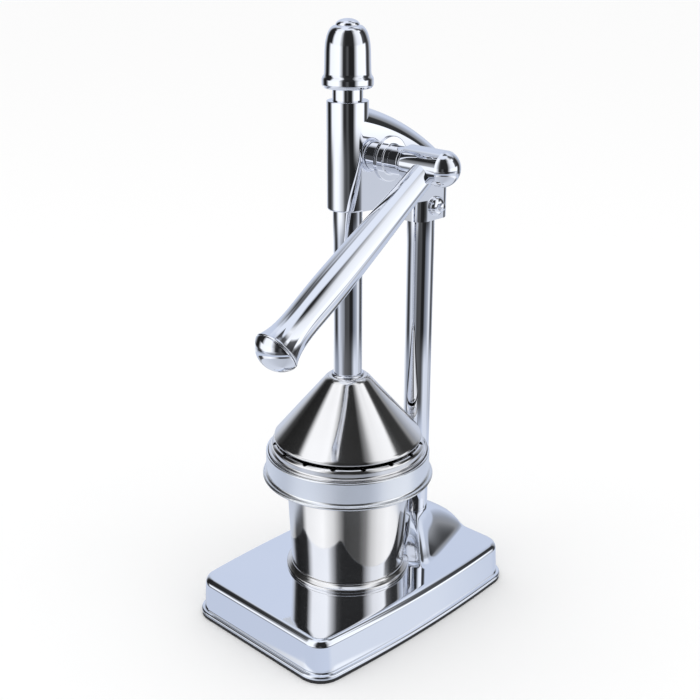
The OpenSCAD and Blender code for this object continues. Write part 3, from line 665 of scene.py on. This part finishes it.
# Lever tube and grip cap, drawn upright from the shaft and then tipped forward
lever = {
    "x": 46, "angle": 34, "flare": 14.3, "curveSteps": 6, "smooth": 40,
    "outline": [(8.2, 5.6), (8.3, 15), (8.75, 32), (9.55, 52), (10.3, 75), (10.85, 95), (11.0, 108),
                (10.85, 120), (10.65, 131), (10.85, 139), (11.5, 145.5), (12.6, 150.6), (13.9, 154.6)],
    # the bead at the mouth and the step inside it, as offsets from the flare's radius
    "mouth": [(-0.2, 154.9), (0, 155.1), (0.12, 155.5), (0, 155.9), (-0.25, 156.12), (-1.5, 156.12),
              (-2.5, 152)],
}
grip = {
    "plug": [(0, 148), (9, 148), (10.3, 148.4), (12.5, 156.1), (12.6, 156.5), (13.7, 156.5), (14.1, 156.6),
             (14.28, 156.75)],
    "foot": 156.9, "domeHeight": 9.6, "domeSteps": 28,
}
leverTurn = (quarterTurn + math.radians(lever["angle"]), 0, 0)


def tipLever(piece):
    return putAt(piece, x=lever["x"], y=shaftY, z=shaftZ, turn=leverTurn)


mouth = [(lever["flare"] + out, along) for out, along in lever["mouth"]]
tubeRings = [(0, lever["outline"][0][1])] + smoothCurve(lever["outline"], lever["curveSteps"])
leverTube = turnPiece("leverTube", tubeRings + mouth + [(0, mouth[-1][1])], smooth=lever["smooth"])
dress(tipLever(leverTube), chrome, "lever", "chrome", "lever_tube")
gripDome = ballCap(lever["flare"], grip["foot"], grip["domeHeight"], grip["domeSteps"])
gripCap = turnPiece("gripCap", grip["plug"] + gripDome + [(0, grip["foot"] + grip["domeHeight"])])
dress(tipLever(gripCap), chrome, "lever", "chrome", "grip_cap")
print("lever ready")

# Ram with the rack along its back. Addendum and dedendum are in modules, the ends of the flat and the first
# gap in teeth above the shaft
ram = {"outline": [(0, 164.4), (5, 164.4, 0.4), (5, 174.6), (9.5, 174.6, 0.3), (9.5, 383.7, 0.5), (0, 383.7)]}
rack = {"line": 7, "module": 1.5, "addendum": 0.9, "dedendum": 1.2, "flankAngle": 25, "play": 0.04,
        "flat": (-16.5, 3.5), "firstGap": -15.5, "gaps": 19, "halfTool": 12, "over": 1, "smooth": 25}


def cutRack(piece):
    pitch = math.pi * rack["module"]
    side, over = rack["halfTool"], rack["over"]
    flatY = rack["line"] + rack["addendum"] * rack["module"]
    rootY = rack["line"] - rack["dedendum"] * rack["module"]
    low, high = (shaftZ + teeth * pitch for teeth in rack["flat"])
    cutWith(piece, addBlock("rackFlat", (-side, flatY, low), (side, side, high)))
    halfGap = pitch / 4 + rack["play"]
    lean = math.tan(math.radians(rack["flankAngle"]))
    wide = (halfGap + (flatY + over - rack["line"]) * lean) * mm
    narrow = (halfGap - (rack["line"] - rootY) * lean) * mm
    groove = addBlock("rackGroove", (-side, rootY, -1), (side, flatY + over, 1))
    for vertex in groove.data.vertices:
        reach = wide if vertex.co.y > (rootY + over / 2) * mm else narrow
        vertex.co.z = math.copysign(reach, vertex.co.z) + (shaftZ + rack["firstGap"] * pitch) * mm
    repeat = groove.modifiers.new("teeth", "ARRAY")
    repeat.count = rack["gaps"]
    repeat.use_relative_offset = False
    repeat.use_constant_offset = True
    repeat.constant_offset_displace = (0, 0, pitch * mm)
    applyAll(groove)
    cutWith(piece, groove)
    shadeSmooth(piece, rack["smooth"])


rod = turnPiece("ramRod", softProfile(ram["outline"]), facets["slim"])
cutRack(rod)
dress(putAt(rod, y=ramY), chrome, "ram", "chrome", "ram")
print("ram ready")

# Cap on top of the ram with the screw that holds it
cap = {
    "collar": [(9.53, 367.7), (9.53, 361.7, 0.3), (14.9, 361.7, 0.4), (16, 363.3, 1.1), (16, 367.6, 1.3),
               (14.8, 369.3)],
    "bell": [(14.75, 369.4), (14.5, 370.6), (14.4, 373), (14.25, 378), (14.1, 383.8), (13.75, 388.2),
             (13.2, 391), (12.5, 393.4), (11.6, 395.5), (10.4, 397.2), (9.0, 398.3), (7.9, 398.7)],
    "hole": [(7.6, 398.55), (7.3, 398.3), (0, 398.3)], "curveSteps": 4, "smooth": 40,
}
topScrew = {"shank": [(0, 374), (3, 374), (3, 398.4), (7.1, 398.45), (7.35, 398.6)],
            "radius": 7.4, "foot": 398.9, "height": 3.8, "steps": 20}


def screwDome():
    radius, foot, height = topScrew["radius"], topScrew["foot"], topScrew["height"]
    angles = [quarterTurn * i / topScrew["steps"] for i in range(topScrew["steps"])]
    return [(radius * math.cos(a), foot + height * math.sin(a)) for a in angles] + [(0, foot + height)]


capRings = [(0, cap["collar"][0][1])] + softProfile(cap["collar"])
capRings += smoothCurve(cap["bell"], cap["curveSteps"])[1:] + cap["hole"]
ramCap = turnPiece("ramCap", capRings, facets["wide"], smooth=cap["smooth"])
dress(putAt(ramCap, y=ramY), chrome, "ram", "chrome", "ram_cap")
capScrew = turnPiece("capScrew", topScrew["shank"] + screwDome(), facets["slim"])
dress(putAt(capScrew, y=ramY), chrome, "ram", "chrome", "cap_screw")
print("ram cap ready")

# Press cone and the washer that the ram stands on
cone = {
    "outside": [(pressRadius, 173), (12.1, 173, 1.2), (14.7, 171.4, 1.6), (49.8, 130.2, 1.2),
                (50.3, 128.9, 0.6)],
    "inside": [(50.2, 128, 0.4), (49.1, 128, 0.4), (48.7, 129.4, 0.8), (13.5, 170.1, 1.2), (11.5, 171.8, 0.8),
               (pressRadius, 171.8)],
    "washer": [(pressRadius, 173.05), (11.1, 173.05, 0.3), (11.1, 174.0, 0.5), (10.2, 174.6, 0.3),
               (pressRadius, 174.6)],
}
pressCone = turnPiece("pressCone", softProfile(cone["outside"] + cone["inside"]), facets["wide"], closed=True)
dress(putAt(pressCone, y=ramY), satin, "ram", "stainless", "press_cone")
washer = turnPiece("coneWasher", softProfile(cone["washer"]), closed=True)
dress(putAt(washer, y=ramY), chrome, "ram", "chrome", "cone_washer")
print("cone ready")

# Cup, pressed from one sheet, and the wider ring that it stands in
cup = {
    "outside": [(0, 30), (39.3, 30, 5), (42.1, 95.6, 0.4), (43.2, 96.2, 0.5), (43.2, 99, 0.5)],
    "inside": [(41.2, 99, 0.4), (38.3, 31, 4.6), (0, 31)],
    "footRing": [(34, 29), (43.2, 29, 0.4), (43.2, 31.1, 0.7), (42.2, 31.7, 0.5), (40.6, 33.0, 0.4),
                 (39.9, 33.8, 0.2), (39.56, 33.9), (39.3, 32.2, 0.6), (36.5, 29.8, 0.6), (34, 29.8)],
}
cupShell = turnPiece("cupShell", softProfile(cup["outside"] + cup["inside"]), facets["wide"])
dress(putAt(cupShell, y=ramY), satin, "frame", "stainless", "cup")
footRing = turnPiece("cupFoot", softProfile(cup["footRing"]), facets["wide"], closed=True)
dress(putAt(footRing, y=ramY), satin, "frame", "stainless", "cup_foot")
print("cup ready")

# Juice bowl: the spigot sits in the cup's mouth
bowl = {
    "spigot": [(39.9, 93), (40.9, 93, 0.3), (40.9, 99.05, 0.2), (44.2, 99.05, 0.4), (45.2, 100, 0.5)],
    "bead": [(57.7, 99.9, 0.9), (58.7, 101, 0.9), (58.1, 102.3, 0.8), (56.9, 102.7, 0.5)],
    "wall": [(56, 103.6, 0.6), (56, 118.1, 0.5), (55.4, 118.6, 0.3), (54.6, 118.5, 0.3), (54.5, 102.6, 1.0),
             (39.9, 101, 0.6)],
}
bowlRings = softProfile(bowl["spigot"] + bowl["bead"] + bowl["wall"])
bowlShell = turnPiece("juiceBowl", bowlRings, facets["wide"], closed=True)
dress(putAt(bowlShell, y=ramY), bowlMetal, "frame", "satin_metal", "juice_bowl")
print("bowl ready")

# Strainer: rim, step and ledge, then the slotted dome, whose inside is its outside moved in and down
strainer = {
    "outside": [(53.2, 102.5), (54.2, 102.5, 0.2), (54.2, 119.85, 0.6), (52.6, 119.9, 0.4),
                (52.2, 120.5, 0.5), (52.1, 124.3, 0.8), (50.7, 125.8, 0.8), (48.3, 126.3, 0.4)],
    "dome": [(47.8, 126.8), (46.6, 128.0), (38, 136.6), (28, 147.8), (20, 157.3), (16.8, 158.9),
             (12, 160.0), (6, 160.3)],
    "inside": [(46.9, 125.6), (47.4, 125.2, 0.5), (50.6, 124.8, 0.6), (51.3, 124.2, 0.4),
               (51.3, 119.0, 0.4), (53.2, 118.8, 0.4), (53.2, 102.6)],
    "curveSteps": 4, "holeSheet": 1, "dropIn": 0.8, "dropDown": 0.85,
    # the slots run from slotStart to slotEnd from the axis, and the tool that cuts them stands on slotFoot
    "slots": 16, "slotStart": 24, "slotEnd": 51.6, "slotHalf": 2.2, "slotFoot": 124.1, "slotDepth": 40,
    "slotSides": 24,
}


def makeStrainer():
    dome = smoothCurve(strainer["dome"], strainer["curveSteps"])
    holeEdge = [(dome[-1][0], dome[-1][1] - strainer["holeSheet"])]
    under = [(r - strainer["dropIn"], z - strainer["dropDown"]) for r, z in reversed(dome[1:-1])]
    rings = softProfile(strainer["outside"]) + dome + holeEdge + under + softProfile(strainer["inside"])
    shell = turnPiece("strainerShell", rings, facets["wide"], closed=True)
    cutWith(shell, makeSlots())
    shadeSmooth(shell)
    return shell


def makeSlots():
    # Wedges with a round outer end, one for each slot, joined into one tool
    half, depth = strainer["slotHalf"], strainer["slotDepth"]
    middle = strainer["slotEnd"] - half
    deselectAll()
    for i in range(strainer["slots"]):
        bpy.ops.mesh.primitive_cylinder_add(
            vertices=strainer["slotSides"], radius=half * mm, depth=depth * mm)
        slot = nameNew("slotTool" + str(i))
        for vertex in slot.data.vertices:
            if vertex.co.x < 0:
                vertex.co.x = (strainer["slotStart"] - middle) * mm * (1 - abs(vertex.co.y) / (half * mm))
            vertex.co.x += middle * mm
            vertex.co.z += (strainer["slotFoot"] + depth / 2) * mm
        putAt(slot, turn=(0, 0, 2 * math.pi * (i + 0.5) / strainer["slots"]))
    bpy.ops.object.select_all(action="DESELECT")
    for piece in bpy.data.objects:
        piece.select_set(piece.name.startswith("slotTool"))
    bpy.ops.object.join()
    return bpy.context.object


dress(putAt(makeStrainer(), y=ramY), satin, "frame", "stainless", "strainer")
print("strainer ready")

# The other pieces stay as the frame has them and only get a material
for name, node in frame["nodes"].items():
    if node.hide_render:
        continue
    finish = rubber if name == "base_pad" else chrome if name == "end_nut" else plainSteel
    node.data.materials.clear()
    node.data.materials.append(finish)
print("plain pieces ready")

# Studio. The camera was solved from the photo and is given in metres, the floor and the lamps too
studio = {
    "cameraAzimuth": -45.4, "cameraPlace": (0.50873, -0.52251, 0.46219),
    "cameraForward": (-0.65740435, 0.66616698, -0.35219467), "sensor": 36, "lens": 59.84, "shiftX": 0.0033,
    "world": 0.95, "backdrop": (1.05, 1.05, 1.05),
    "floorSize": 40, "floorZ": -0.0002, "floorTint": (0.97, 0.97, 0.97, 1), "floorRough": 0.9,
    "lampReach": 1.6, "lampSize": 1.2, "lampAim": (0, 0, 0.15),
    # degrees right of the camera, height and watts
    "lamps": {"softLeft": (-60, 1.6, 3), "softRight": (70, 1.4, 2)},
}


def makeFloor():
    deselectAll()
    bpy.ops.mesh.primitive_plane_add(size=studio["floorSize"], location=(0, 0, studio["floorZ"]))
    floor = nameNew("floor")
    material, _, _, shader = startMaterial("paleFloor")
    shader.inputs["Base Color"].default_value = studio["floorTint"]
    shader.inputs["Roughness"].default_value = studio["floorRough"]
    shader.inputs["Specular IOR Level"].default_value = 0
    floor.data.materials.append(material)
    floor.visible_glossy = False


white, haze, lilac = (1.22, 1.25, 1.30), (1.0, 1.06, 1.18), (0.63, 0.69, 0.82)  # tints of the room

# What the metal mirrors round the studio: stops of (degrees right of the camera, tint, level), upwards from
# the ground. A band's "height" is the span of elevations over which it takes over from the band below
roomBands = {
    "ground": {"height": (-90, -89), "stops": [
        (-180, haze, 0.75), (-90, haze, 0.72), (-30, haze, 0.6), (30, haze, 0.55), (90, haze, 0.72)]},
    "shade": {"height": (-41, -38), "stops": [
        (-180, white, 0.6), (-150, white, 0.45), (-136, white, 0.4), (-124, white, 0.04), (-100, white, 0.06),
        (-88, white, 0.8), (-50, white, 0.95), (-28, white, 0.65), (-16, white, 0.3), (-6, white, 0.05),
        (22, white, 0.07), (36, white, 0.2), (48, white, 0.55), (62, white, 0.75), (84, white, 0.9),
        (112, white, 0.85), (122, white, 0.5), (132, white, 0.12), (150, white, 0.1)]},
    "skirt": {"height": (-31.5, -30.5), "stops": [
        (-180, lilac, 1), (-40, lilac, 1), (40, lilac, 1.05), (62, haze, 0.78), (95, haze, 0.78),
        (110, lilac, 1)]},
    "low": {"height": (-25, -23), "stops": [
        (-180, white, 0.85), (-138, white, 0.75), (-120, lilac, 0.7), (-98, lilac, 0.5), (-80, lilac, 0.55),
        (-68, haze, 0.7), (-52, haze, 0.65), (-38, haze, 0.3), (-24, white, 0.12), (28, white, 0.06),
        (40, haze, 0.35), (52, haze, 0.8), (92, haze, 0.75), (104, haze, 0.5), (118, haze, 0.65),
        (130, lilac, 0.6), (152, lilac, 0.85)]},
    "lower": {"height": (-21.5, -19.5), "stops": [
        (-180, white, 0.95), (-148, white, 0.9), (-136, haze, 0.7), (-124, haze, 0.5), (-112, white, 0.05),
        (-92, white, 0.03), (-82, haze, 0.4), (-72, haze, 0.8), (-54, haze, 0.5), (-38, haze, 0.35),
        (-28, haze, 0.3), (-20, white, 0.06), (8, white, 0.07), (18, white, 0.015), (38, white, 0.015),
        (48, lilac, 0.35), (62, lilac, 0.5), (78, haze, 0.55), (90, white, 0.85), (101, haze, 0.5),
        (112, white, 0.06), (124, white, 0.06), (136, haze, 0.2), (150, lilac, 0.6), (170, lilac, 0.9)]},
    "sleeve": {"height": (-15.5, -14), "stops": [
        (-180, lilac, 1.05), (-152, haze, 0.7), (-136, white, 0.05), (-108, white, 0.03), (-94, white, 0.15),
        (-80, white, 0.8), (-68, white, 0.97), (-50, white, 0.9), (-40, white, 0.7), (-28, white, 0.45),
        (-17, white, 0.1), (-6, white, 0.06), (4, white, 0.09), (14, white, 0.02), (40, white, 0.012),
        (62, white, 0.05), (76, haze, 0.2), (87, haze, 0.62), (97, haze, 0.68), (108, white, 0.06),
        (122, white, 0.08), (134, haze, 0.35), (150, lilac, 0.95)]},
    "upper": {"height": (-12, -9.5), "stops": [
        (-180, lilac, 1.1), (-152, lilac, 1.05), (-143, haze, 0.55), (-132, white, 0.12), (-124, white, 0.012),
        (-108, white, 0.012), (-100, white, 0.3), (-92, white, 0.9), (-42, white, 1), (-33, white, 0.65),
        (-22, white, 0.03), (-12, white, 0.02), (-1, white, 0.08), (8, white, 0.015), (30, white, 0.015),
        (42, white, 0.6), (50, white, 0.95), (96, white, 1), (102, white, 0.25), (108, white, 0.04),
        (122, white, 0.05), (130, white, 0.22), (138, haze, 0.5), (150, lilac, 1)]},
    "middle": {"height": (4, 9), "stops": [
        (-180, lilac, 1.1), (-152, lilac, 1.05), (-143, haze, 0.5), (-132, white, 0.05), (-122, white, 0.012),
        (-90, white, 0.02), (-84, white, 0.4), (-76, white, 0.9), (-42, white, 0.95), (-33, white, 0.5),
        (-22, white, 0.05), (-12, white, 0.02), (30, white, 0.02), (42, white, 0.5), (52, white, 0.8),
        (79, white, 0.95), (85, white, 0.1), (103, white, 0.03), (118, white, 0.03), (121, white, 0.06),
        (125, white, 0.24), (131, haze, 0.34), (141, lilac, 0.8), (150, lilac, 1.05)]},
    "tall": {"height": (34, 38), "stops": [
        (-180, lilac, 1.1), (-152, lilac, 1.05), (-143, haze, 0.5), (-132, white, 0.05), (-122, white, 0.012),
        (-98, white, 0.03), (-90, white, 0.4), (-83, white, 0.9), (-42, white, 0.95), (-33, white, 0.5),
        (-22, white, 0.05), (-12, white, 0.02), (30, white, 0.02), (42, white, 0.5), (52, white, 0.8),
        (90, white, 0.95), (97, white, 0.15), (110, white, 0.06), (118, haze, 0.5), (126, lilac, 0.9),
        (150, lilac, 1.05)]},
    "high": {"height": (44, 52), "stops": [
        (-180, lilac, 1.1), (-150, haze, 0.85), (-134, haze, 0.6), (-124, white, 0.1), (-106, white, 0.12),
        (-94, white, 0.75), (-42, white, 0.95), (-30, white, 0.5), (-22, white, 0.03), (30, white, 0.02),
        (42, white, 0.25), (52, white, 0.65), (62, white, 0.85), (74, white, 0.7), (88, white, 0.1),
        (102, white, 0.06), (110, white, 0.2), (120, haze, 0.85), (150, haze, 0.8), (162, lilac, 1)]},
    "ceiling": {"height": (62, 72), "stops": [
        (-180, haze, 0.9), (96, haze, 0.9), (112, white, 0.06), (148, white, 0.06), (164, haze, 0.8)]},
}


def makeWorld():
    world = bpy.data.worlds.new("studio")
    bpy.context.scene.world = world
    world.use_nodes = True
    nodes, links = world.node_tree.nodes, world.node_tree.links
    back = nodes["Background"]
    back.inputs["Strength"].default_value = studio["world"]
    spin = nodes.new("ShaderNodeVectorRotate")
    spin.rotation_type = "Z_AXIS"
    spin.inputs["Angle"].default_value = -math.radians(studio["cameraAzimuth"])
    links.new(nodes.new("ShaderNodeTexCoord").outputs["Generated"], spin.inputs["Vector"])
    parts = nodes.new("ShaderNodeSeparateXYZ")
    links.new(spin.outputs["Vector"], parts.inputs["Vector"])
    angle = nodes.new("ShaderNodeMath")
    angle.operation = "ARCTAN2"
    links.new(parts.outputs["Y"], angle.inputs[0])
    links.new(parts.outputs["X"], angle.inputs[1])
    around = nodes.new("ShaderNodeMapRange")
    around.inputs["From Min"].default_value = -math.pi
    around.inputs["From Max"].default_value = math.pi
    links.new(angle.outputs[0], around.inputs["Value"])

    def makeBand(stops):
        ramp = nodes.new("ShaderNodeValToRGB")
        elements = ramp.color_ramp.elements
        while len(elements) < len(stops):
            elements.new(0.5)  # the stop's own place follows
        for element, (degrees, tint, level) in zip(elements, stops):
            element.position = (degrees + 180) / 360
            element.color = (*(channel * level for channel in tint), 1)
        links.new(around.outputs["Result"], ramp.inputs["Fac"])
        return ramp.outputs["Color"]

    def shareAbove(low, high):
        share = nodes.new("ShaderNodeMapRange")
        share.interpolation_type = "SMOOTHSTEP"
        share.inputs["From Min"].default_value = math.sin(math.radians(low))
        share.inputs["From Max"].default_value = math.sin(math.radians(high))
        links.new(parts.outputs["Z"], share.inputs["Value"])
        return share.outputs["Result"]

    room = None
    for band in roomBands.values():
        above = makeBand(band["stops"])
        if room is None:
            room = above
        else:
            room = mixColours(nodes, links, shareAbove(*band["height"]), room, above)
    glossy = nodes.new("ShaderNodeLightPath").outputs["Is Glossy Ray"]
    links.new(mixColours(nodes, links, glossy, studio["backdrop"], room), back.inputs["Color"])


def makeCamera():
    data = bpy.data.cameras.new("photoCamera")
    data.sensor_width, data.lens, data.shift_x = studio["sensor"], studio["lens"], studio["shiftX"]
    camera = bpy.data.objects.new("photoCamera", data)
    bpy.context.scene.collection.objects.link(camera)
    camera.location = studio["cameraPlace"]
    camera.rotation_euler = Vector(studio["cameraForward"]).to_track_quat("-Z", "Y").to_euler()
    bpy.context.scene.camera = camera


def makeLamp(name, azimuth, height, power):
    data = bpy.data.lights.new(name, "AREA")
    data.size = studio["lampSize"]
    data.energy = power
    lamp = bpy.data.objects.new(name, data)
    bpy.context.scene.collection.objects.link(lamp)
    a, reach = math.radians(studio["cameraAzimuth"] + azimuth), studio["lampReach"]
    lamp.location = (reach * math.cos(a), reach * math.sin(a), height)
    aim = Vector(studio["lampAim"]) - lamp.location
    lamp.rotation_euler = aim.to_track_quat("-Z", "Y").to_euler()
    lamp.visible_glossy = False


makeFloor()
makeWorld()
makeCamera()
for name, (azimuth, height, power) in studio["lamps"].items():
    makeLamp(name, azimuth, height, power)
bpy.context.scene.view_settings.view_transform = "Standard"
print("studio ready")
